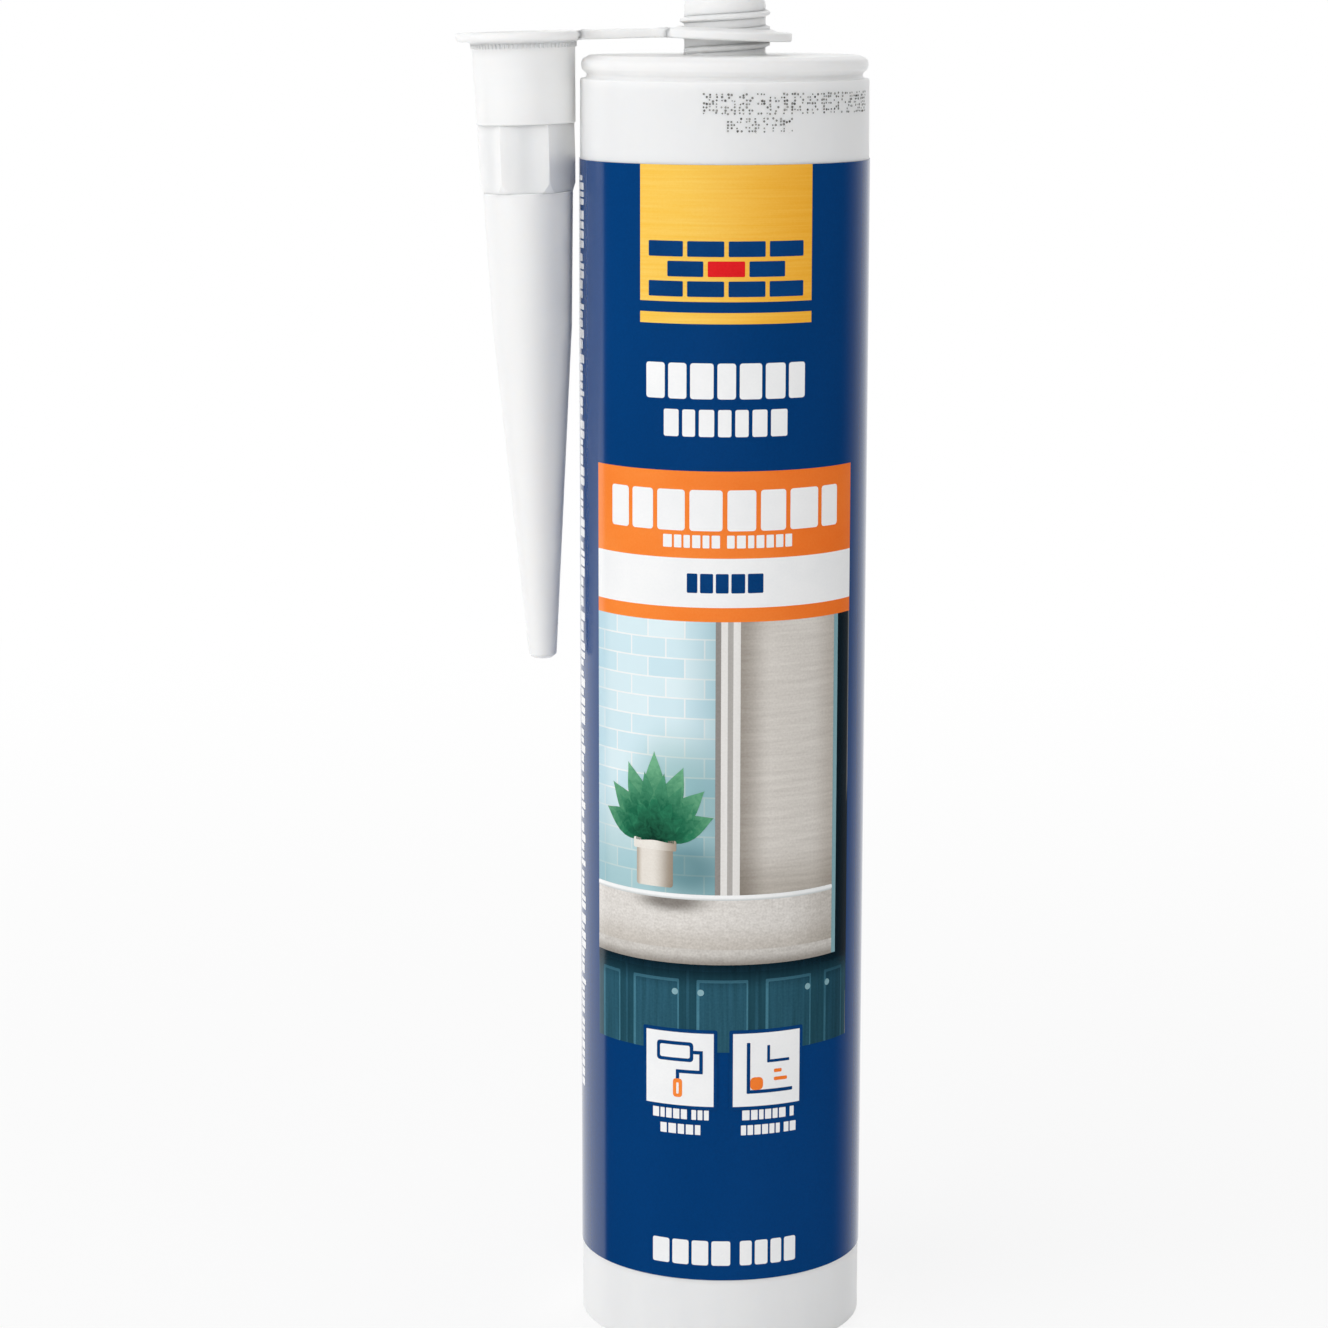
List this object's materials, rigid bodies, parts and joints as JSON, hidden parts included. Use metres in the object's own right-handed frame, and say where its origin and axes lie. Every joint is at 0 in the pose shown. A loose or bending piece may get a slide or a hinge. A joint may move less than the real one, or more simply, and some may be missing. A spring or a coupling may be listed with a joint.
{
  "type": "caulk tube",
  "caption": "Sealant cartridge: a straight plastic tube with a wrapped label, a closed threaded neck and a tapered nozzle hanging beside it from a ring round the neck.",
  "frame": {"origin": "on the barrel's axis, in the plane of the rear rim that it stands on", "axes": "+Z along the barrel towards the neck; the printed front faces -Y; the nozzle hangs on -X"},
  "size_m": [0.0685, 0.0486, 0.226],
  "materials": {
    "barrel_plastic": "white moulded polyethylene, semi-gloss",
    "piston_plastic": "natural white moulded polyethylene",
    "sealant_paste": "white water-based paste",
    "label_blue": "blue printed film, glossy",
    "nozzle_plastic": "white moulded polyethylene, semi-gloss",
    "print_gold": "printed ink under varnish",
    "print_orange": "printed ink under varnish",
    "print_red": "printed ink under varnish",
    "print_white": "printed ink under varnish",
    "print_navy": "printed ink under varnish",
    "print_picture_wall": "printed ink under varnish",
    "print_picture_plaster": "printed ink under varnish",
    "print_picture_worktop": "printed ink under varnish",
    "print_picture_cabinet": "printed ink under varnish",
    "print_picture_plant": "printed ink under varnish",
    "print_picture_pot": "printed ink under varnish"
  },
  "bodies": {
    "barrel": {"cartridge_barrel": "barrel_plastic", "sealant": "sealant_paste", "label_film": "label_blue", "print_gold": "print_gold", "print_orange": "print_orange", "print_red": "print_red", "print_white": "print_white", "print_navy": "print_navy", "print_picture_wall": "print_picture_wall", "print_picture_plaster": "print_picture_plaster", "print_picture_worktop": "print_picture_worktop", "print_picture_cabinet": "print_picture_cabinet", "print_picture_plant": "print_picture_plant", "print_picture_pot": "print_picture_pot"},
    "piston": {"piston": "piston_plastic"},
    "nozzle": {"nozzle": "nozzle_plastic"}
  },
  "joints": [
    {"name": "piston_slide", "type": "slide", "parent": "barrel", "child": "piston", "axis": [0, 0, 1], "range_m": [0, 0.1647], "deforming": ["sealant"]},
    {"name": "nozzle_swivel", "type": "hinge", "parent": "barrel", "child": "nozzle", "pos_m": [0, 0, 0.2195], "axis": [0, 0, 1], "range_deg": [-180, 180]}
  ]
}
